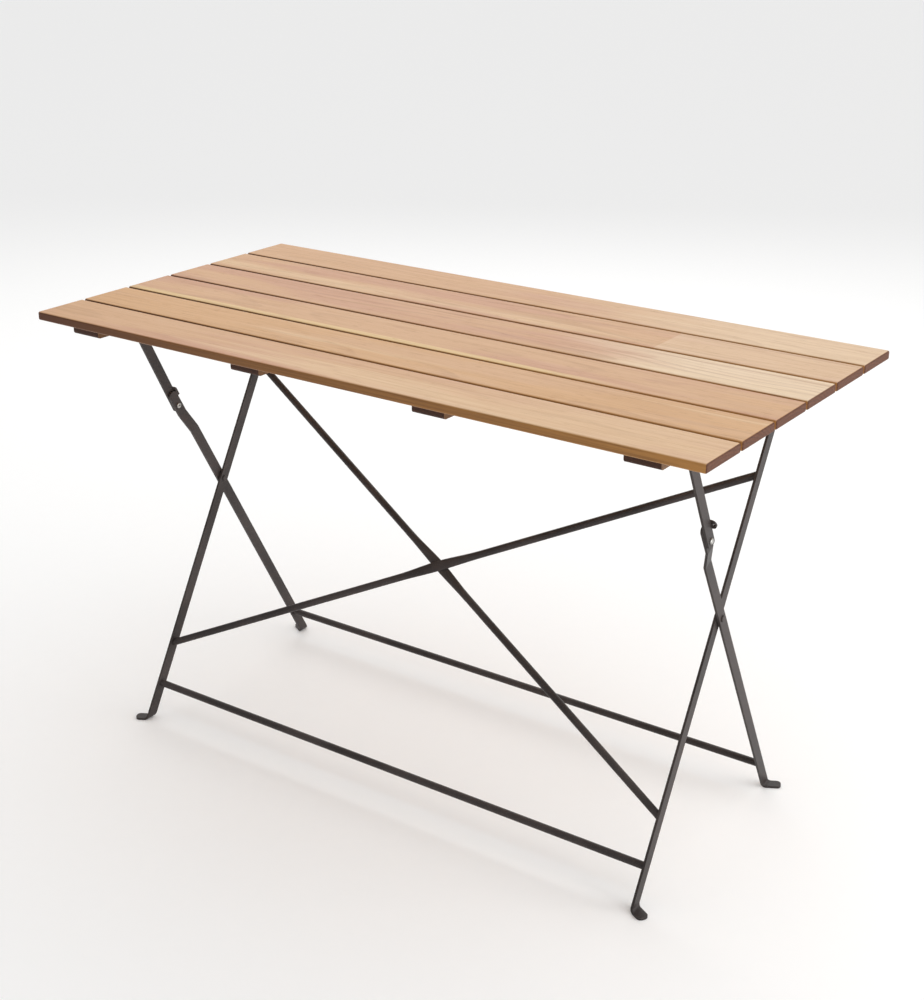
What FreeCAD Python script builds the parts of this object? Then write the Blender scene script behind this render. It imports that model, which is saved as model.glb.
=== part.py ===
import FreeCAD, Part
import math
import os

# Folding slatted table.  Millimetres, +Z up, +X along the tabletop, front edge at -Y.
# The origin is on the floor under the middle of the top.
os.makedirs("parts", exist_ok=True)

# --- tabletop ---------------------------------------------------------------
TOP_LENGTH = 1200.0
TOP_HEIGHT = 745.0
SLAT_COUNT = 6
SLAT_WIDTH = 95.5
SLAT_GAP = 5.0
SLAT_THICK = 14.0
SLAT_ROUND = 3.0
SLAT_PITCH = SLAT_WIDTH + SLAT_GAP
TOP_WIDTH = SLAT_COUNT * SLAT_PITCH - SLAT_GAP
SLAT_BOTTOM = TOP_HEIGHT - SLAT_THICK
BATTEN_THICK = 14.0
BATTEN_WIDTH = 55.0
BATTEN_SETBACK = 12.0
BATTEN_XS = (-504.0, -168.0, 168.0, 504.0)
BATTEN_BOTTOM = SLAT_BOTTOM - BATTEN_THICK
BATTEN_CORNER = 5.0

# --- flat bar, rod and rivets -----------------------------------------------
BAR_WIDTH = 18.0
BAR_THICK = 4.0
ROD_RADIUS = 6.0
PIN_RADIUS = 3.0
RUNNING_GAP = 0.05
FACE_GAP = 0.1
HEAD_RADIUS = 5.5
HEAD_HEIGHT = 2.3
WASHER_RADIUS = 8.0
END_REACH = 10.0
END_ROUND = 8.5

# --- planes of the flat bars, from the middle of the table outwards ----------
INNER_LEG_X = 488.6
OUTER_LEG_X = 494.8
JOGGLE_DEPTH = 10.0
KNEE_GAP = 0.4
KNEE_LEG_X = OUTER_LEG_X + JOGGLE_DEPTH
LINK_X = KNEE_LEG_X + BAR_THICK + KNEE_GAP

# --- linkage, seen from the side as (y, z) -------------------------------------
PIVOT_Z = 692.0
LEG_PIVOT_Y = 163.5
FRONT_FOOT_Y = -223.0
BACK_FOOT_Y = 208.3
CROSS_Z = 390.4
KNEE_Z = 548.0
FOLDED_ANGLE = 3.0
FRONT_SLOPE = (LEG_PIVOT_Y - FRONT_FOOT_Y) / PIVOT_Z
CROSS_Y = FRONT_FOOT_Y + FRONT_SLOPE * CROSS_Z
BACK_SLOPE = (CROSS_Y - BACK_FOOT_Y) / CROSS_Z
KNEE_Y = BACK_FOOT_Y + BACK_SLOPE * KNEE_Z


def link_pivot_y():
    """Where the link must hang so that, folded, the inner legs lie level under the top and the
    outer legs lie FOLDED_ANGLE off them: it is as far from the knee open as from the knee folded."""
    upper = math.hypot(LEG_PIVOT_Y - CROSS_Y, PIVOT_Z - CROSS_Z)
    lower = math.hypot(CROSS_Y - KNEE_Y, CROSS_Z - KNEE_Z)
    folded_y = LEG_PIVOT_Y - upper + lower * math.cos(math.radians(FOLDED_ANGLE))
    folded_rise = lower * math.sin(math.radians(FOLDED_ANGLE))
    open_drop = PIVOT_Z - KNEE_Z
    difference = folded_y ** 2 + folded_rise ** 2 - KNEE_Y ** 2 - open_drop ** 2
    return difference / (2 * (folded_y - KNEE_Y))


LINK_PIVOT_Y = link_pivot_y()
LEG_PIVOT = (LEG_PIVOT_Y, PIVOT_Z)
LINK_PIVOT = (LINK_PIVOT_Y, PIVOT_Z)
CROSS = (CROSS_Y, CROSS_Z)
KNEE = (KNEE_Y, KNEE_Z)

# --- feet and joggle ----------------------------------------------------------
BEND_INSIDE = 4.5
BEND_OUTSIDE = BEND_INSIDE + BAR_THICK
TAB_LENGTH = 19.5
TAB_ROUND = 7.0
JOGGLE_LOW_Z = 500.0
JOGGLE_HIGH_Z = 531.0
JOGGLE_ROUND = 9.0
KNEE_EXTENSION = 30.0

# --- cross rods ---------------------------------------------------------------
FRONT_STRETCHER_Z = 58.3
BACK_STRETCHER_Z = 53.6
BRACE_LOW_Z = 124.0
BRACE_HIGH_Z = 581.0
FLAT_HALF_LENGTH = 80.0
FLAT_HALF_WIDTH = 8.5
FLAT_HALF_THICK = 2.6

# --- stop eye at the knee -------------------------------------------------------
EYE_ALONG = 23.0
EYE_HEIGHT = 15.0
EYE_THICK = 3.0
EYE_END_X = 520.5
EYE_HOLE_X = 515.7
EYE_HOLE_RADIUS = 2.5
EYE_CLEARANCE = 1.2

# --- hinge brackets and screws -------------------------------------------------
PLATE_THICK = 3.0
BRACKET_WIDTH = 26.0
BRACKET_DROP = 11.0
WASHER_THICK = 1.5
LEG_TAB_X = INNER_LEG_X - WASHER_THICK - PLATE_THICK
LEG_FLANGE_END = 522.0
LINK_TAB_X = LINK_X + BAR_THICK + WASHER_THICK
LINK_FLANGE_END = 478.0
SCREW_HEAD_RADIUS = 4.0
SCREW_RADIUS = 2.0
SLAT_SCREW_DY = 24.0
SLAT_SCREW_DX = 12.0
SLAT_SCREW_TIP = SLAT_BOTTOM + 8.0
BRACKET_SCREW_TIP = BATTEN_BOTTOM + 11.0

CUT = 2000.0


def vec(x, y, z):
    return FreeCAD.Vector(x, y, z)


def box(x0, x1, y0, y1, z0, z1):
    return Part.makeBox(x1 - x0, y1 - y0, z1 - z0, vec(x0, y0, z0))


def cylinder_x(x0, x1, point, radius):
    return Part.makeCylinder(radius, x1 - x0, vec(x0, point[0], point[1]), vec(1, 0, 0))


def cylinder_z(z0, z1, x, y, radius):
    return Part.makeCylinder(radius, z1 - z0, vec(x, y, z0), vec(0, 0, 1))


def fuse(shapes):
    joined = shapes[0].fuse(list(shapes[1:]))
    return joined.removeSplitter()


def prism(points, direction):
    wire = Part.makePolygon(points + [points[0]])
    return Part.Face(wire).extrude(direction)


def left_of(shape):
    return shape.mirror(vec(0, 0, 0), vec(1, 0, 0))


def save(name, shape):
    shape.exportStep("parts/" + name + ".step")
    print(name, len(shape.Solids), round(shape.Volume, 1), shape.isValid())


def save_pair(name, right):
    save(name + "_right", right)
    save(name + "_left", left_of(right))


def save_group(name, solids):
    save(name, Part.makeCompound(solids))


def both_sides(solids):
    return solids + [left_of(s) for s in solids]


def along_x(edge):
    a = edge.Vertexes[0].Point
    b = edge.Vertexes[-1].Point
    return abs(a.y - b.y) < 1e-6 and abs(a.z - b.z) < 1e-6 and abs(a.x - b.x) > 1e-6


def round_corners(shape, point, reach, radius):
    """Round the edges along X that lie within reach of a (y, z) point."""
    edges = []
    for edge in shape.Edges:
        if along_x(edge):
            p = edge.Vertexes[0].Point
            if math.hypot(p.y - point[0], p.z - point[1]) < reach:
                edges.append(edge)
    return shape.makeFillet(radius, edges)


def unit(start, end):
    """Unit direction from start to end and the normal towards the back, both (y, z)."""
    dy = end[0] - start[0]
    dz = end[1] - start[1]
    length = math.hypot(dy, dz)
    return (dy / length, dz / length), (dz / length, -dy / length)


def shift(point, direction, distance):
    return (point[0] + direction[0] * distance, point[1] + direction[1] * distance)


def flat_bar(start, end, x0, before, after):
    """Square-ended flat bar in the plane x0 .. x0 + BAR_THICK between two (y, z) points."""
    along, normal = unit(start, end)
    low = shift(start, along, -before)
    high = shift(end, along, after)
    half = BAR_WIDTH / 2
    corners = [shift(low, normal, -half), shift(high, normal, -half)]
    corners += [shift(high, normal, half), shift(low, normal, half)]
    return prism([vec(x0, y, z) for y, z in corners], vec(BAR_THICK, 0, 0))


def foot_bend(x_face, foot_y, slope):
    """Bar end turned outwards about a level line; the bar's lean carries on round the bend."""
    half = BAR_WIDTH / 2 * math.hypot(1.0, slope)
    centre_x = x_face + BEND_INSIDE
    y_start = foot_y + slope * BEND_OUTSIDE
    middle = BEND_INSIDE + BAR_THICK / 2
    wires = []
    for step in range(7):
        angle = math.radians(15.0 * step)
        y = y_start - slope * middle * angle
        corners = []
        for radius, dy in ((BEND_INSIDE, -half), (BEND_INSIDE, half), (BEND_OUTSIDE, half), (BEND_OUTSIDE, -half)):
            x = centre_x - radius * math.cos(angle)
            z = BEND_OUTSIDE - radius * math.sin(angle)
            corners.append(vec(x, y + dy, z))
        wires.append(Part.makePolygon(corners + [corners[0]]))
    return Part.makeLoft(wires, True, True)


def foot_tab(x_face, foot_y, slope):
    """Flat tab on the floor, square cut with rounded corners, skewed the way the leg leans."""
    x_start = x_face + BEND_INSIDE
    middle = BEND_INSIDE + BAR_THICK / 2
    y_start = foot_y + slope * BEND_OUTSIDE - slope * middle * math.pi / 2
    stretch = math.hypot(1.0, slope)
    dx = 1.0 / stretch
    dy = -slope / stretch
    half = BAR_WIDTH / 2
    corners = []
    for s, w in ((-20.0, -half), (TAB_LENGTH, -half), (TAB_LENGTH, half), (-20.0, half)):
        corners.append(vec(x_start + s * dx - w * dy, y_start + s * dy + w * dx, 0.0))
    tab = prism(corners, vec(0, 0, BAR_THICK))
    tips = [e for e in tab.Edges if abs(e.Length - BAR_THICK) < 1e-6 and e.CenterOfMass.x > x_start + 5.0]
    tab = tab.makeFillet(TAB_ROUND, tips)
    return tab.common(box(x_start, x_start + 60.0, foot_y - 80.0, foot_y + 80.0, 0.0, BAR_THICK))


def with_foot(leg, x_face, foot_y, slope):
    """Cut the leg above its bend and add the bend and the tab."""
    above = box(-CUT, CUT, -CUT, CUT, BEND_OUTSIDE, CUT)
    return fuse([leg.common(above), foot_bend(x_face, foot_y, slope), foot_tab(x_face, foot_y, slope)])


def rivet_head(x_face, outwards, point, radius, height):
    """Domed head whose flat side is at x_face and which stands towards outwards (+1 or -1)."""
    x0 = min(x_face, x_face + outwards * height)
    head = cylinder_x(x0, x0 + height, point, radius)
    rim = [e for e in head.Edges if len(e.Vertexes) == 1 and abs(e.CenterOfMass.x - x_face) > height / 2]
    return head.makeFillet(height * 0.7, rim)


def pin(x0, x1, point, radius=HEAD_RADIUS):
    """Shank from x0 to x1 with a domed head beyond each end."""
    shank = cylinder_x(x0, x1, point, PIN_RADIUS)
    low = rivet_head(x0, -1, point, radius, HEAD_HEIGHT)
    high = rivet_head(x1, 1, point, radius, HEAD_HEIGHT)
    return fuse([shank, low, high])


def washer(x0, x1, point):
    ring = cylinder_x(x0, x1, point, WASHER_RADIUS)
    return ring.cut(cylinder_x(x0 - 1, x1 + 1, point, PIN_RADIUS))


def drill(shape, point, radius):
    return shape.cut(cylinder_x(0, 700, point, radius))


# --- wood -----------------------------------------------------------------------
def slat_centre(index):
    return -TOP_WIDTH / 2 + SLAT_WIDTH / 2 + SLAT_PITCH * index


def slat_screw_points():
    points = []
    for x in BATTEN_XS:
        for index in range(SLAT_COUNT):
            y = slat_centre(index)
            points.append((x - SLAT_SCREW_DX, y - SLAT_SCREW_DY))
            points.append((x + SLAT_SCREW_DX, y + SLAT_SCREW_DY))
    return points


def slat_screw(x, y):
    head = Part.makeCone(SCREW_HEAD_RADIUS, SCREW_RADIUS, 2.0, vec(x, y, BATTEN_BOTTOM), vec(0, 0, 1))
    return head.fuse(cylinder_z(BATTEN_BOTTOM + 2.0, SLAT_SCREW_TIP, x, y, SCREW_RADIUS)).removeSplitter()


def bracket_screw_points():
    points = []
    for sign in (1, -1):
        points += [(sign * 497.0, LEG_PIVOT_Y), (sign * 514.0, LEG_PIVOT_Y)]
        points += [(sign * 486.0, LINK_PIVOT_Y), (sign * 502.0, LINK_PIVOT_Y)]
    return points


def bracket_screw(x, y):
    under = BATTEN_BOTTOM - PLATE_THICK
    head = cylinder_z(under - 2.3, under, x, y, SCREW_HEAD_RADIUS)
    rim = [e for e in head.Edges if len(e.Vertexes) == 1 and e.CenterOfMass.z < under - 1.0]
    head = head.makeFillet(1.4, rim)
    return head.fuse(cylinder_z(under, BRACKET_SCREW_TIP, x, y, SCREW_RADIUS)).removeSplitter()


SLAT_SCREWS = [slat_screw(x, y) for x, y in slat_screw_points()]
BRACKET_SCREWS = [bracket_screw(x, y) for x, y in bracket_screw_points()]
SCREW_TOOL = Part.makeCompound(SLAT_SCREWS + BRACKET_SCREWS)


def slat(index):
    y = slat_centre(index)
    board = box(-TOP_LENGTH / 2, TOP_LENGTH / 2, y - SLAT_WIDTH / 2, y + SLAT_WIDTH / 2, SLAT_BOTTOM, TOP_HEIGHT)
    return board.makeFillet(SLAT_ROUND, board.Edges).cut(SCREW_TOOL)


def batten(x):
    reach = TOP_WIDTH / 2 - BATTEN_SETBACK
    board = box(x - BATTEN_WIDTH / 2, x + BATTEN_WIDTH / 2, -reach, reach, BATTEN_BOTTOM, SLAT_BOTTOM)
    for y in (-reach, reach):
        board = round_corners(board, (y, BATTEN_BOTTOM), 1.0, BATTEN_CORNER)
    return board.cut(SCREW_TOOL)


# --- hinge brackets ---------------------------------------------------------------
def bracket(tab_x, flange_end, pivot):
    """Plate screwed under a batten with a tab hanging down to the pivot."""
    half = BRACKET_WIDTH / 2
    y = pivot[0]
    tab = box(tab_x, tab_x + PLATE_THICK, y - half, y + half, pivot[1] - BRACKET_DROP, BATTEN_BOTTOM)
    tab = round_corners(tab, (y, pivot[1] - BRACKET_DROP), half + 1, half - 1.5)
    x0 = min(tab_x, flange_end)
    x1 = max(tab_x + PLATE_THICK, flange_end)
    flange = box(x0, x1, y - half, y + half, BATTEN_BOTTOM - PLATE_THICK, BATTEN_BOTTOM)
    plate = drill(fuse([tab, flange]), pivot, PIN_RADIUS)
    return plate.cut(SCREW_TOOL)


# --- legs and links ----------------------------------------------------------------
def inner_leg():
    """Leg hinged under the back of the top, foot at the front."""
    leg = flat_bar((FRONT_FOOT_Y, 0.0), LEG_PIVOT, INNER_LEG_X, 30.0, END_REACH)
    along, normal = unit((FRONT_FOOT_Y, 0.0), LEG_PIVOT)
    leg = round_corners(leg, shift(LEG_PIVOT, along, END_REACH), BAR_WIDTH, END_ROUND)
    leg = with_foot(leg, INNER_LEG_X + BAR_THICK, FRONT_FOOT_Y, FRONT_SLOPE)
    leg = drill(leg, LEG_PIVOT, PIN_RADIUS + RUNNING_GAP)
    return drill(leg, CROSS, PIN_RADIUS)


def joggled_bar():
    """Outer leg with the outward set just below the knee, drawn as s along the leg and x."""
    start = (BACK_FOOT_Y, 0.0)
    along, normal = unit(start, KNEE)
    s_low = JOGGLE_LOW_Z / along[1]
    s_high = JOGGLE_HIGH_Z / along[1]
    s_end = KNEE_Z / along[1] + KNEE_EXTENSION
    lead = BAR_THICK * math.tan(math.atan2(JOGGLE_DEPTH, s_high - s_low) / 2)
    x_low = OUTER_LEG_X
    x_high = KNEE_LEG_X
    outline = [(-30.0, x_low), (s_low, x_low), (s_high, x_high), (s_end, x_high)]
    outline += [(s_end, x_high + BAR_THICK), (s_high - lead, x_high + BAR_THICK)]
    outline += [(s_low - lead, x_low + BAR_THICK), (-30.0, x_low + BAR_THICK)]
    edge = shift(start, normal, -BAR_WIDTH / 2)
    points = []
    for s, x in outline:
        y, z = shift(edge, along, s)
        points.append(vec(x, y, z))
    bar = prism(points, vec(0, normal[0] * BAR_WIDTH, normal[1] * BAR_WIDTH))
    kinks = []
    for e in bar.Edges:
        s = e.CenterOfMass.z / along[1]
        if abs(e.Length - BAR_WIDTH) < 1e-6 and s_low - 20 < s < s_high + 20:
            kinks.append(e)
    bar = bar.makeFillet(JOGGLE_ROUND, kinks)
    return round_corners(bar, shift(start, along, s_end), BAR_WIDTH, END_ROUND)


def outer_leg():
    """Leg with its foot at the back and the knee at its upper end."""
    leg = with_foot(joggled_bar(), OUTER_LEG_X + BAR_THICK, BACK_FOOT_Y, BACK_SLOPE)
    leg = drill(leg, CROSS, PIN_RADIUS + RUNNING_GAP)
    return drill(leg, KNEE, PIN_RADIUS)


def knee_link():
    """Short flat bar from the knee up to its hinge under the front of the top."""
    link = flat_bar(KNEE, LINK_PIVOT, LINK_X, END_REACH, END_REACH)
    along, normal = unit(KNEE, LINK_PIVOT)
    link = round_corners(link, shift(LINK_PIVOT, along, END_REACH), BAR_WIDTH, END_ROUND)
    link = round_corners(link, shift(KNEE, along, -END_REACH), BAR_WIDTH, END_ROUND / 2)
    link = drill(link, LINK_PIVOT, PIN_RADIUS + RUNNING_GAP)
    return drill(link, KNEE, PIN_RADIUS)


def stop_eye():
    """Eye plate on the back edge of the outer leg's upper end, behind the link's back edge."""
    along, normal = unit((BACK_FOOT_Y, 0.0), KNEE)
    base = shift(KNEE, along, EYE_ALONG - EYE_HEIGHT / 2)
    root = shift(base, normal, BAR_WIDTH / 2)
    face = shift(root, normal, EYE_CLEARANCE)

    def slab(corner, x0, x1, thick):
        y0, z0 = corner
        y1, z1 = shift(corner, along, EYE_HEIGHT)
        points = [vec(x0, y0, z0), vec(x1, y0, z0), vec(x1, y1, z1), vec(x0, y1, z1)]
        return prism(points, vec(0, normal[0] * thick, normal[1] * thick))

    plate = slab(face, KNEE_LEG_X, EYE_END_X, EYE_THICK)
    tips = [e for e in plate.Edges if abs(e.Length - EYE_THICK) < 1e-6 and e.CenterOfMass.x > EYE_END_X - 1]
    plate = plate.makeFillet(EYE_HEIGHT / 2 - 0.5, tips)
    pad = slab(root, KNEE_LEG_X, KNEE_LEG_X + BAR_THICK, EYE_CLEARANCE)
    hole_y, hole_z = shift(face, along, EYE_HEIGHT / 2)
    direction = vec(0, normal[0], normal[1])
    hole = Part.makeCylinder(EYE_HOLE_RADIUS, 20, vec(EYE_HOLE_X, hole_y, hole_z) - direction * 5, direction)
    return fuse([plate.cut(hole), pad])


# --- cross rods ------------------------------------------------------------------
def rod(half_length, foot_y, slope, z):
    return cylinder_x(-half_length, half_length, (foot_y + slope * z, z), ROD_RADIUS)


def blend(u):
    """0 at the round parts of a brace, 1 at its flattened middle."""
    t = min(abs(u) / FLAT_HALF_LENGTH, 1.0)
    return (1.0 + math.cos(math.pi * t)) / 2


def brace(z_left, z_right, set_off):
    """Round rod between the inner legs, pressed flat and set off where the two rods cross."""
    start = vec(-INNER_LEG_X, FRONT_FOOT_Y + FRONT_SLOPE * z_left, z_left)
    end = vec(INNER_LEG_X, FRONT_FOOT_Y + FRONT_SLOPE * z_right, z_right)
    middle = (start + end) * 0.5
    along = (end - start).normalize()
    half = (end - start).Length / 2
    leg_along, leg_normal = unit((FRONT_FOOT_Y, 0.0), LEG_PIVOT)
    normal = vec(0, leg_normal[0], leg_normal[1])
    side = along.cross(normal).normalize()
    stations = [-half - 20] + [FLAT_HALF_LENGTH * i / 8.0 for i in range(-8, 9)] + [half + 20]
    wires = []
    for u in stations:
        f = blend(u)
        a = ROD_RADIUS + (FLAT_HALF_WIDTH - ROD_RADIUS) * f
        b = ROD_RADIUS + (FLAT_HALF_THICK - ROD_RADIUS) * f
        centre = middle + along * u + normal * (set_off * f)
        points = []
        for k in range(24):
            q = 2 * math.pi * k / 24
            points.append(centre + side * (a * math.cos(q)) + normal * (b * math.sin(q)))
        curve = Part.BSplineCurve()
        curve.interpolate(points, PeriodicFlag=True)
        wires.append(Part.Wire([curve.toShape()]))
    body = Part.makeLoft(wires, True, True)
    return body.common(box(-INNER_LEG_X, INNER_LEG_X, -CUT, CUT, 0, CUT))


# --- rivets at the knee: one half stays with each bar ------------------------------
def knee_rivet_outer():
    shank = cylinder_x(LINK_X - KNEE_GAP / 2 + 0.05, LINK_X + BAR_THICK, KNEE, PIN_RADIUS)
    head = rivet_head(LINK_X + BAR_THICK, 1, KNEE, 4.8, HEAD_HEIGHT)
    return fuse([shank, head])


def knee_rivet_inner():
    shank = cylinder_x(KNEE_LEG_X, KNEE_LEG_X + BAR_THICK + KNEE_GAP / 2 - 0.05, KNEE, PIN_RADIUS)
    head = rivet_head(KNEE_LEG_X, -1, KNEE, 4.8, HEAD_HEIGHT)
    dimple = cylinder_x(KNEE_LEG_X - HEAD_HEIGHT - 1, KNEE_LEG_X - 0.8, KNEE, 1.9)
    return fuse([shank, head]).cut(dimple)


for number in range(SLAT_COUNT):
    save("slat_%d" % (number + 1), slat(number))
for number, batten_x in enumerate(BATTEN_XS):
    save("batten_%d" % (number + 1), batten(batten_x))
save_group("slat_screws", SLAT_SCREWS)
save_group("bracket_screws", BRACKET_SCREWS)
save_pair("leg_bracket", bracket(LEG_TAB_X, LEG_FLANGE_END, LEG_PIVOT))
save_pair("link_bracket", bracket(LINK_TAB_X, LINK_FLANGE_END, LINK_PIVOT))
leg_pin = pin(LEG_TAB_X, INNER_LEG_X + BAR_THICK + FACE_GAP, LEG_PIVOT)
link_pin = pin(LINK_X - FACE_GAP, LINK_TAB_X + PLATE_THICK, LINK_PIVOT)
cross_pin = pin(INNER_LEG_X, OUTER_LEG_X + BAR_THICK + FACE_GAP, CROSS)
save_group("leg_pivot_pins", both_sides([leg_pin]))
save_group("link_pivot_pins", both_sides([link_pin]))
save_group("cross_pivot_pins", both_sides([cross_pin]))
leg_washer = washer(LEG_TAB_X + PLATE_THICK, INNER_LEG_X - FACE_GAP, LEG_PIVOT)
link_washer = washer(LINK_X + BAR_THICK + FACE_GAP, LINK_TAB_X, LINK_PIVOT)
cross_washer = washer(INNER_LEG_X + BAR_THICK, OUTER_LEG_X - FACE_GAP, CROSS)
save_group("leg_pivot_washers", both_sides([leg_washer]))
save_group("link_pivot_washers", both_sides([link_washer]))
save_group("cross_pivot_washers", both_sides([cross_washer]))
save_pair("inner_leg", inner_leg())
save_pair("outer_leg", outer_leg())
save_pair("knee_link", knee_link())
save_pair("stop_eye", stop_eye())
save("front_stretcher", rod(INNER_LEG_X, FRONT_FOOT_Y, FRONT_SLOPE, FRONT_STRETCHER_Z))
save("back_stretcher", rod(OUTER_LEG_X, BACK_FOOT_Y, BACK_SLOPE, BACK_STRETCHER_Z))
save("brace_rising", brace(BRACE_LOW_Z, BRACE_HIGH_Z, -FLAT_HALF_THICK))
save("brace_falling", brace(BRACE_HIGH_Z, BRACE_LOW_Z, FLAT_HALF_THICK))
save_pair("knee_rivet_outer", knee_rivet_outer())
save_pair("knee_rivet_inner", knee_rivet_inner())
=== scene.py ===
import math

import bpy
from mathutils import Matrix, Vector


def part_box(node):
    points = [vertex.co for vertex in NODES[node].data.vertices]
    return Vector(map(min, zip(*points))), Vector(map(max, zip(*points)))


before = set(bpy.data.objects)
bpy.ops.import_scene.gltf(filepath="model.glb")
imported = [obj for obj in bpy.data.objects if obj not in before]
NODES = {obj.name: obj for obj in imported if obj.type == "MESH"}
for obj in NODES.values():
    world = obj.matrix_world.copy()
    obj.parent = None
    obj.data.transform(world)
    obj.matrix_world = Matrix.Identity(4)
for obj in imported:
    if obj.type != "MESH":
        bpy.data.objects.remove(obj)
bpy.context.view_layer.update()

# --- camera, looking down on the table's right-hand front corner (degrees, metres, mm of lens) --
CAMERA_AZIMUTH = 34.82
CAMERA_PITCH = 21.85
CAMERA_ROLL = 0.28
CAMERA_DISTANCE = 2.708
TARGET_RIGHT = 0.0217
TARGET_UP = 0.0794
TARGET_HEIGHT = 0.375
FOCAL_LENGTH = 59.48
SENSOR = 36.0

# --- lights (metres, watts) and sky ---------------------------------------------------------------
KEY_PLACE = (-1.45, 2.4, 2.6)
KEY_AIM = (0.0, 0.0, 0.7)
KEY_SIZE = (3.2, 2.4)
KEY_POWER = 27.0
KEY_COLOUR = (1.0, 0.985, 0.96)
RIGHT_PLACE = (2.9, 0.5, 0.9)
RIGHT_AIM = (0.0, 0.0, 0.45)
RIGHT_SIZE = (2.4, 1.4)
RIGHT_POWER = 34.0
SKY_BRIGHTEST = (0.50, 0.36, 0.79)
SKY_FACING = (-0.6, 0.9)
SKY_STRENGTH = (0.25, 1.08)
FLOOR_HALF_SIZE = 30.0

# --- colours (linear) ---------------------------------------------------------------------------
FLOOR_COLOUR = (0.97, 0.97, 0.968)
PAINT_DARK = (0.030, 0.0235, 0.0225)
PAINT_LIGHT = (0.053, 0.042, 0.040)
PAINT_WORN = (0.17, 0.155, 0.14)
ZINC = (0.55, 0.54, 0.52)
ZINC_DULL = (0.30, 0.29, 0.27)


def linear(code):
    """Linear colour of a six-figure web colour."""
    channels = [int(code[i:i + 2], 16) / 255 for i in (0, 2, 4)]
    values = [c / 12.92 if c <= 0.04045 else ((c + 0.055) / 1.055) ** 2.4 for c in channels]
    return tuple(values) + (1.0,)


class Graph:
    """A material's node tree, built by short calls."""

    def __init__(self, name):
        self.material = bpy.data.materials.new(name)
        self.material.use_nodes = True
        self.tree = self.material.node_tree
        self.tree.nodes.clear()
        self.shader = self.add("ShaderNodeBsdfPrincipled")
        output = self.add("ShaderNodeOutputMaterial")
        self.link(self.shader.outputs["BSDF"], output.inputs["Surface"])
        self.coords = self.add("ShaderNodeTexCoord")
        self.place = self.coords.outputs["Object"]
        self.facing = self.coords.outputs["Normal"]

    def add(self, kind, **settings):
        node = self.tree.nodes.new(kind)
        for key, value in settings.items():
            setattr(node, key, value)
        return node

    def link(self, source, socket):
        self.tree.links.new(source, socket)

    def feed(self, socket, value):
        if hasattr(value, "is_output"):
            self.link(value, socket)
        else:
            socket.default_value = value

    def math(self, operation, a, b=0.0, clamp=False):
        node = self.add("ShaderNodeMath", operation=operation, use_clamp=clamp)
        self.feed(node.inputs[0], a)
        self.feed(node.inputs[1], b)
        return node.outputs[0]

    def vector(self, operation, a, b=(0.0, 0.0, 0.0)):
        node = self.add("ShaderNodeVectorMath", operation=operation)
        self.feed(node.inputs[0], a)
        self.feed(node.inputs[1], b)
        return node.outputs["Value" if operation in ("LENGTH", "DOT_PRODUCT") else "Vector"]

    def axes(self, vector):
        node = self.add("ShaderNodeSeparateXYZ")
        self.link(vector, node.inputs[0])
        return node.outputs

    def stretch(self, scale, offset=(0.0, 0.0, 0.0), source=None):
        """Coordinates scaled along each axis, so that noise comes out long in one direction."""
        node = self.add("ShaderNodeMapping")
        self.link(source or self.place, node.inputs["Vector"])
        node.inputs["Location"].default_value = offset
        node.inputs["Scale"].default_value = scale
        return node.outputs[0]

    def noise(self, vector, scale=1.0, detail=3.0, roughness=0.5, distortion=0.0):
        node = self.add("ShaderNodeTexNoise")
        self.link(vector, node.inputs["Vector"])
        node.inputs["Scale"].default_value = scale
        node.inputs["Detail"].default_value = detail
        node.inputs["Roughness"].default_value = roughness
        node.inputs["Distortion"].default_value = distortion
        return node.outputs["Fac"]

    def band(self, value, low, high, out_low=0.0, out_high=1.0, smooth=True):
        """Value mapped from low..high to out_low..out_high and held there."""
        node = self.add("ShaderNodeMapRange", clamp=True)
        node.interpolation_type = "SMOOTHSTEP" if smooth else "LINEAR"
        self.feed(node.inputs["Value"], value)
        node.inputs["From Min"].default_value = low
        node.inputs["From Max"].default_value = high
        node.inputs["To Min"].default_value = out_low
        node.inputs["To Max"].default_value = out_high
        return node.outputs[0]

    def mix(self, amount, a, b, mode="MIX"):
        node = self.add("ShaderNodeMix", data_type="RGBA", blend_type=mode)
        self.feed(node.inputs["Factor"], amount)
        self.feed(node.inputs[6], a)
        self.feed(node.inputs[7], b)
        return node.outputs[2]

    def bump(self, height, strength, distance):
        node = self.add("ShaderNodeBump")
        node.inputs["Strength"].default_value = strength
        node.inputs["Distance"].default_value = distance
        self.link(height, node.inputs["Height"])
        self.link(node.outputs[0], self.shader.inputs["Normal"])


def wear(graph, radius):
    """1 on sharp edges and 0 on flats, from the difference that a bevelled normal makes."""
    bevel = graph.add("ShaderNodeBevel", samples=6)
    bevel.inputs["Radius"].default_value = radius
    geometry = graph.add("ShaderNodeNewGeometry")
    likeness = graph.vector("DOT_PRODUCT", bevel.outputs[0], geometry.outputs["Normal"])
    return graph.band(graph.math("SUBTRACT", 1.0, likeness), 0.02, 0.16)


# --- wood --------------------------------------------------------------------------------------
class Board:
    """What makes one board differ from the next; lengths in metres from the board's middle.

    warm_share: how much of the board is the warm colour; pith: (across, up) centre of its rings.
    stripe: (edge, soft, tint, start, end), a tinted strip along the front edge.
    joint: (at, tint, strength), a glued joint with other wood beyond it.
    patch: (at, soft, tint, slant, strength), wood that turns to another tint along the board.
    """

    def __init__(self, seed, base, warm, pale, warm_share=0.5, pith=(0.0, -0.09), figure=1.0,
                 stripe=None, joint=None, patch=None, shade=1.0):
        self.seed = seed
        self.base = base
        self.warm = warm
        self.pale = pale
        self.warm_share = warm_share
        self.pith = pith
        self.figure = figure
        self.stripe = stripe
        self.joint = joint
        self.patch = patch
        self.shade = shade


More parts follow.
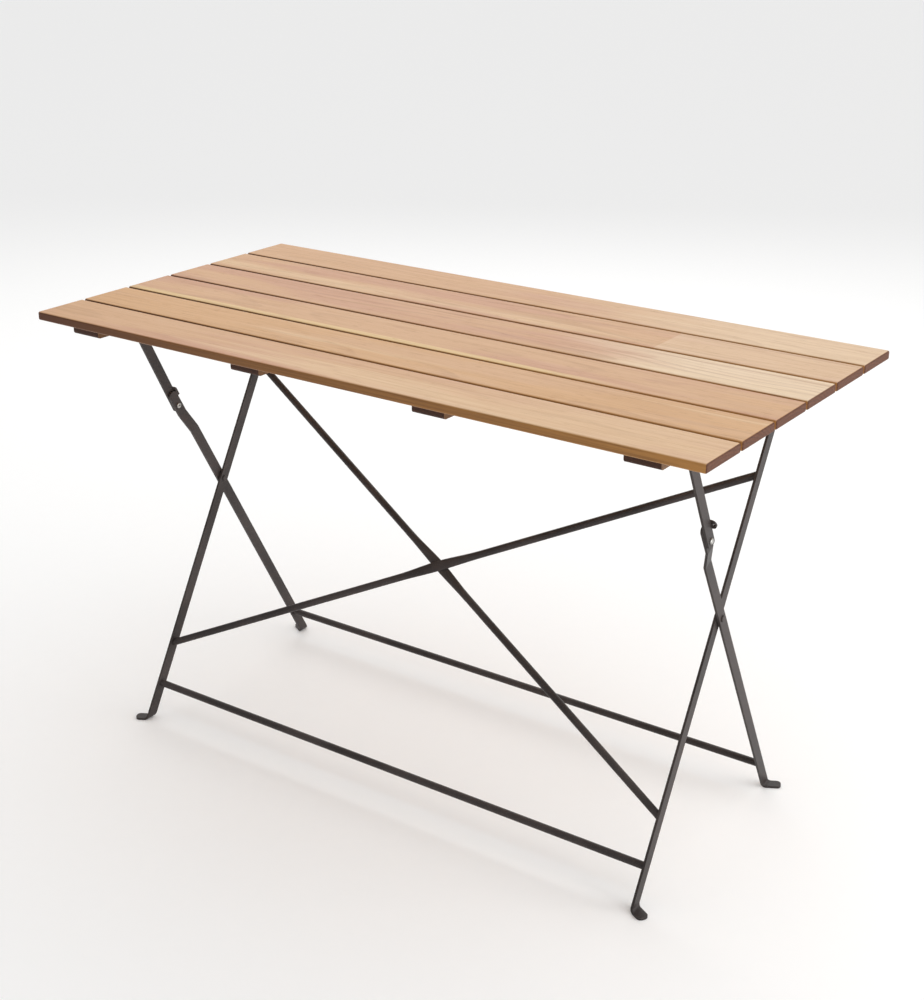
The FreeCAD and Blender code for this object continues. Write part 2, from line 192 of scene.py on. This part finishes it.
def quarter_turn(graph, vector):
    """Vector turned about Z, for a board whose grain runs along Y."""
    node = graph.add("ShaderNodeMapping")
    graph.link(vector, node.inputs["Vector"])
    node.inputs["Rotation"].default_value = (0.0, 0.0, math.pi / 2)
    return node.outputs[0]


def wood(name, board, centre, grain_axis="X"):
    """Oiled hardwood with rings, tone, fibres and pores, painted shade on the long sides, and darker sawn
    ends.
    """
    g = Graph(name)
    source = g.vector("SUBTRACT", g.place, centre)
    facing = g.facing
    if grain_axis == "Y":
        source = quarter_turn(g, source)
        facing = quarter_turn(g, facing)
    s = board.seed
    along, across, up = g.axes(source)

    # growth rings round a pith below the board, wandering slowly along it
    wander_a = g.noise(g.stretch((1.1, 3.0, 3.0), (s * 3.1, s, 0.0), source), detail=2.0)
    wander_b = g.noise(g.stretch((1.6, 4.0, 4.0), (0.0, s * 5.3, s), source), detail=2.0)
    ring_y = g.math("ADD", g.math("SUBTRACT", across, board.pith[0]), g.math("MULTIPLY", wander_a, 0.05))
    ring_z = g.math("ADD", g.math("SUBTRACT", up, board.pith[1]), g.math("MULTIPLY", wander_b, 0.045))
    squares = g.math("ADD", g.math("MULTIPLY", ring_y, ring_y), g.math("MULTIPLY", ring_z, ring_z))
    radius = g.math("SQRT", squares)
    ripple = g.noise(g.stretch((9.0, 60.0, 60.0), (s, 0.0, s), source), detail=3.0)
    radius = g.math("ADD", radius, g.math("MULTIPLY", ripple, 0.0016))
    ring = g.math("FRACT", g.math("MULTIPLY", radius, 1 / RING_PITCH))
    late = g.math("MULTIPLY", g.band(ring, 0.45, 0.9), g.band(ring, 0.92, 1.0, 1.0, 0.0))
    vigour = g.band(g.noise(g.stretch((2.0, 16.0, 16.0), (s * 2, s, 0.0), source)), 0.38, 0.66)

    # broad tone: reddish heartwood drifting into paler wood
    drift = g.noise(g.stretch((1.7, 13.0, 13.0), (s * 7.7, s * 1.3, 0.0), source), detail=4.0, roughness=0.55)
    warm_mask = g.band(drift, 0.58 - 0.3 * board.warm_share, 0.74 - 0.3 * board.warm_share)
    colour = g.mix(g.math("MULTIPLY", warm_mask, 0.8), board.base, board.warm)
    pale_noise = g.noise(g.stretch((1.3, 24.0, 24.0), (s * 4.9, 0.0, s), source), detail=3.0)
    colour = g.mix(g.math("MULTIPLY", g.band(pale_noise, 0.54, 0.68), 0.55), colour, board.pale)
    if board.stripe:
        edge, soft, tint, start, end = board.stripe
        waver = g.math("MULTIPLY", g.noise(g.stretch((3.0, 1.0, 1.0), (s, 0.0, 0.0), source)), 0.012)
        place = g.math("ADD", across, waver)
        mask = g.band(place, edge, edge + soft, 1.0, 0.0)
        reach = g.band(along, start, end, 1.0, 0.0)
        colour = g.mix(g.math("MULTIPLY", mask, reach), colour, tint)
    if board.patch:
        at, soft, tint, slant, strength = board.patch
        sway = g.math("MULTIPLY", g.noise(g.stretch((5.0, 22.0, 10.0), (s, s, 0.0), source)), 0.16)
        place = g.math("ADD", g.math("ADD", along, sway), g.math("MULTIPLY", across, slant))
        colour = g.mix(g.band(place, at, at + soft, 0.0, strength), colour, tint)
    if board.joint:
        at, tint, strength = board.joint
        beyond = g.band(along, at, at + 0.001, smooth=False)
        colour = g.mix(g.math("MULTIPLY", beyond, strength), colour, tint)

    # ring lines, fibres, pores and a few darker mineral streaks
    ring_line = g.math("MULTIPLY", g.math("MULTIPLY", late, vigour), 0.20 * board.figure)
    colour = g.mix(ring_line, colour, linear("8f5f3c"))
    fibre = g.noise(g.stretch((7.0, 420.0, 420.0), (s, s, s), source), detail=4.0, roughness=0.65)
    colour = g.mix(g.band(fibre, 0.42, 0.72, 0.0, 0.30), colour, linear("a87b56"))
    fleck = g.noise(g.stretch((34.0, 900.0, 900.0), (s, 0.0, s), source), detail=1.0)
    pores = g.band(fleck, 0.66, 0.76)
    colour = g.mix(g.math("MULTIPLY", pores, 0.38), colour, linear("6d4528"))
    streak = g.noise(g.stretch((1.1, 55.0, 55.0), (s * 9.0, s, s), source), detail=3.0, distortion=0.4)
    colour = g.mix(g.band(streak, 0.63, 0.78, 0.0, 0.42 * board.figure), colour, linear("9a6240"))
    cloud = g.noise(g.stretch((9.0, 34.0, 34.0), (s, s * 2.0, 0.0), source), detail=3.0)
    colour = g.mix(g.band(cloud, 0.62, 0.74, 0.0, 0.30 * board.figure), colour, linear("b07a5c"))

    # sawn ends are darkest; the long sides carry painted shade, dark reddish at -X, turning to a painted
    # golden light at +X
    nx, ny, nz = g.axes(facing)
    end = g.band(g.math("ABSOLUTE", nx), 0.25, 0.65)
    side = g.band(g.math("ABSOLUTE", ny), 0.45, 0.90)
    end_grain = g.noise(g.stretch((40.0, 620.0, 620.0), (s, s, 0.0), source), detail=3.0)
    end_colour = g.mix(g.band(end_grain, 0.35, 0.7), END_LIGHT, END_DARK)
    end_colour = g.mix(g.math("MULTIPLY", late, 0.45), end_colour, END_RING)
    side_light_ramp = g.math("ADD", along, g.math("MULTIPLY", g.math("SUBTRACT", drift, 0.5), 0.5))
    side_painted_shade_and_grain = g.mix(g.band(side_light_ramp, -0.62, 0.62, smooth=False), SIDE_PAINTED_SHADE, SIDE_PAINTED_LIGHT)
    side_painted_shade_and_grain = g.mix(g.band(fibre, 0.40, 0.75, 0.0, 0.45), side_painted_shade_and_grain, END_DARK)
    # painted shade and painted light on the long sides, with real fibre streaks through it
    colour = g.mix(g.math("MULTIPLY", side, 0.98), colour, side_painted_shade_and_grain)
    colour = g.mix(g.math("MULTIPLY", end, 0.99), colour, end_colour)
    # painted shade: the whole board darkened, as for the battens under the top
    if board.shade != 1.0:
        colour = g.mix(1.0, colour, (board.shade, board.shade, board.shade, 1.0), "MULTIPLY")
    g.link(colour, g.shader.inputs["Base Color"])
    g.shader.inputs["Specular IOR Level"].default_value = 0.3

    # oiled, satin: pores and end grain are duller
    rough = g.band(fibre, 0.3, 0.7, 0.40, 0.50)
    rough = g.math("ADD", rough, g.math("MULTIPLY", pores, 0.18))
    rough = g.math("ADD", rough, g.math("MULTIPLY", end, 0.15))
    g.link(rough, g.shader.inputs["Roughness"])
    height = g.math("SUBTRACT", g.math("MULTIPLY", fibre, 0.5), g.math("MULTIPLY", pores, 0.6))
    height = g.math("SUBTRACT", height, g.math("MULTIPLY", late, 0.12))
    g.bump(height, 0.35, 0.0004)
    return g.material


TAN = linear("cfa277")
HONEY = linear("cf9f6b")
ROSY = linear("c59172")
RUST = linear("b98263")
CREAM = linear("e0bf94")
PALE = linear("ecd6b4")
YELLOW = linear("dcb981")
# painted shade and painted light for the long sides: darkest at -X, lit golden at +X
SIDE_PAINTED_SHADE = linear("4a2009")
SIDE_PAINTED_LIGHT = linear("af7b3e")
END_LIGHT = linear("643a24")
END_DARK = linear("4d2b1b")
END_RING = linear("3d2115")

BOARDS = [
    Board(1.7, TAN, ROSY, CREAM, 0.35, (0.010, -0.11), 0.8, patch=(0.10, 0.45, CREAM, 0.3, 0.5)),
    Board(4.3, HONEY, TAN, CREAM, 0.35, (-0.035, -0.10), 0.9),
    Board(7.9, TAN, ROSY, HONEY, 0.45, (0.030, -0.09), 1.1, stripe=(-0.030, 0.004, YELLOW, 0.20, 0.42)),
    Board(2.6, TAN, ROSY, HONEY, 0.60, (-0.020, -0.07), 1.3, patch=(0.22, 0.26, PALE, 0.6, 0.75)),
    Board(9.2, TAN, ROSY, CREAM, 0.45, (0.025, -0.08), 1.3, joint=(0.303, PALE, 0.28)),
    Board(5.5, TAN, ROSY, CREAM, 0.30, (-0.015, -0.10), 0.8, patch=(0.05, 0.50, PALE, 0.4, 0.5)),
]
# painted shade for the battens, which sit in the shade under the top
BATTEN_PAINTED_SHADE = 0.50
RING_PITCH = 0.0052


def slat_wood(index):
    low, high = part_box("slat_%d" % (index + 1))
    centre = tuple((a + b) / 2 for a, b in zip(low, high))
    return wood("slat_wood_%d" % (index + 1), BOARDS[index], centre)


def batten_wood(index):
    low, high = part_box("batten_%d" % (index + 1))
    centre = tuple((a + b) / 2 for a, b in zip(low, high))
    seed = 3.4 + 2.3 * index
    board = Board(seed, HONEY, RUST, TAN, 0.5, (0.0, -0.05), 1.2, shade=BATTEN_PAINTED_SHADE)
    return wood("batten_wood_%d" % (index + 1), board, centre, "Y")


# --- metal -------------------------------------------------------------------------------------
def leg_paint():
    """Satin powder coat, dark bronze, with a fine orange-peel skin and lightly rubbed edges."""
    g = Graph("leg_paint")
    tone = g.noise(g.stretch((9.0, 9.0, 9.0)), detail=4.0)
    colour = g.mix(g.band(tone, 0.35, 0.65), PAINT_DARK + (1.0,), PAINT_LIGHT + (1.0,))
    speck = g.noise(g.stretch((900.0, 900.0, 900.0)), detail=2.0)
    colour = g.mix(g.band(speck, 0.55, 0.75, 0.0, 0.35), colour, PAINT_WORN + (1.0,))
    rubbed = g.math("MULTIPLY", wear(g, 0.0009), g.band(g.noise(g.stretch((60.0, 60.0, 60.0))), 0.40, 0.62))
    colour = g.mix(g.math("MULTIPLY", rubbed, 0.5), colour, PAINT_WORN + (1.0,))
    g.link(colour, g.shader.inputs["Base Color"])
    g.shader.inputs["Metallic"].default_value = 0.0
    g.shader.inputs["Specular IOR Level"].default_value = 0.25
    rough = g.band(tone, 0.3, 0.7, 0.36, 0.46)
    rough = g.math("ADD", rough, g.math("MULTIPLY", speck, 0.08))
    g.link(rough, g.shader.inputs["Roughness"])
    skin = g.noise(g.stretch((520.0, 520.0, 520.0)), detail=2.0)
    g.bump(skin, 0.25, 0.0003)
    return g.material


def bright_steel(name, light, dull, rough_low, rough_high):
    """Zinc-plated steel, cloudy, with turning marks too fine to see one by one."""
    g = Graph(name)
    cloud = g.noise(g.stretch((260.0, 260.0, 260.0)), detail=4.0)
    g.link(g.mix(g.band(cloud, 0.35, 0.65), light + (1.0,), dull + (1.0,)), g.shader.inputs["Base Color"])
    g.shader.inputs["Metallic"].default_value = 1.0
    g.link(g.band(cloud, 0.3, 0.7, rough_low, rough_high), g.shader.inputs["Roughness"])
    g.bump(g.noise(g.stretch((1500.0, 1500.0, 1500.0))), 0.2, 0.0002)
    return g.material


def paint_nodes():
    paint = leg_paint()
    rivet = bright_steel("silver_rivet", ZINC, ZINC_DULL, 0.28, 0.45)
    screw = bright_steel("screw_steel", ZINC_DULL, ZINC, 0.32, 0.5)
    for name, node in NODES.items():
        if name.startswith("slat_") and name != "slat_screws":
            material = slat_wood(int(name[-1]) - 1)
        elif name.startswith("batten_"):
            material = batten_wood(int(name[-1]) - 1)
        elif name.startswith("knee_rivet"):
            material = rivet
        elif name.endswith("_screws"):
            material = screw
        else:
            material = paint
        node.data.materials.clear()
        node.data.materials.append(material)


# --- studio ------------------------------------------------------------------------------------
def studio_floor():
    size = FLOOR_HALF_SIZE
    mesh = bpy.data.meshes.new("floor")
    corners = [(-size, -size, 0.0), (size, -size, 0.0), (size, size, 0.0), (-size, size, 0.0)]
    mesh.from_pydata(corners, [], [(0, 1, 2, 3)])
    floor = bpy.data.objects.new("floor", mesh)
    bpy.context.collection.objects.link(floor)
    g = Graph("floor_paper")
    grain = g.noise(g.stretch((40.0, 40.0, 40.0)), detail=3.0)
    light = FLOOR_COLOUR + (1.0,)
    shade = tuple(0.985 * c for c in FLOOR_COLOUR) + (1.0,)
    g.link(g.mix(grain, light, shade), g.shader.inputs["Base Color"])
    g.shader.inputs["Roughness"].default_value = 0.9
    g.shader.inputs["Specular IOR Level"].default_value = 0.1
    mesh.materials.append(g.material)


def softbox(name, place, aim, size, energy, colour=(1.0, 1.0, 1.0)):
    data = bpy.data.lights.new(name, "AREA")
    data.shape = "RECTANGLE"
    data.size = size[0]
    data.size_y = size[1]
    data.energy = energy
    data.color = colour
    light = bpy.data.objects.new(name, data)
    light.location = place
    direction = Vector(aim) - Vector(place)
    light.rotation_euler = direction.to_track_quat("-Z", "Y").to_euler()
    bpy.context.collection.objects.link(light)


def studio_lights():
    """A large key behind the left, a side light on the right, and a sky brighter behind the right."""
    softbox("key", KEY_PLACE, KEY_AIM, KEY_SIZE, KEY_POWER, KEY_COLOUR)
    softbox("right", RIGHT_PLACE, RIGHT_AIM, RIGHT_SIZE, RIGHT_POWER)
    world = bpy.data.worlds.new("studio")
    world.use_nodes = True
    tree = world.node_tree
    background = tree.nodes["Background"]
    background.inputs["Color"].default_value = (1.0, 1.0, 1.0, 1.0)
    coords = tree.nodes.new("ShaderNodeTexCoord")
    toward = tree.nodes.new("ShaderNodeVectorMath")
    toward.operation = "DOT_PRODUCT"
    toward.inputs[1].default_value = SKY_BRIGHTEST
    level = tree.nodes.new("ShaderNodeMapRange")
    level.inputs["From Min"].default_value = SKY_FACING[0]
    level.inputs["From Max"].default_value = SKY_FACING[1]
    level.inputs["To Min"].default_value = SKY_STRENGTH[0]
    level.inputs["To Max"].default_value = SKY_STRENGTH[1]
    tree.links.new(coords.outputs["Generated"], toward.inputs[0])
    tree.links.new(toward.outputs["Value"], level.inputs["Value"])
    tree.links.new(level.outputs["Result"], background.inputs["Strength"])
    bpy.context.scene.world = world


def studio_camera():
    azimuth = math.radians(CAMERA_AZIMUTH)
    pitch = math.radians(CAMERA_PITCH)
    roll = math.radians(CAMERA_ROLL)
    back = Vector((math.sin(azimuth) * math.cos(pitch), -math.cos(azimuth) * math.cos(pitch), math.sin(pitch)))
    right = Vector((math.cos(azimuth), math.sin(azimuth), 0.0))
    up = back.cross(right)
    rolled_right = math.cos(roll) * right + math.sin(roll) * up
    rolled_up = math.cos(roll) * up - math.sin(roll) * right
    target = TARGET_RIGHT * right + TARGET_UP * up + Vector((0.0, 0.0, TARGET_HEIGHT))
    place = target + CAMERA_DISTANCE * back
    turn = Matrix((rolled_right, rolled_up, back)).transposed().to_4x4()
    data = bpy.data.cameras.new("camera")
    data.lens = FOCAL_LENGTH
    data.sensor_width = SENSOR
    data.sensor_fit = "AUTO"
    data.clip_end = 100.0
    camera = bpy.data.objects.new("camera", data)
    camera.matrix_world = Matrix.Translation(place) @ turn
    bpy.context.collection.objects.link(camera)
    bpy.context.scene.camera = camera


paint_nodes()
studio_floor()
studio_lights()
studio_camera()
bpy.context.scene.view_settings.view_transform = "Standard"
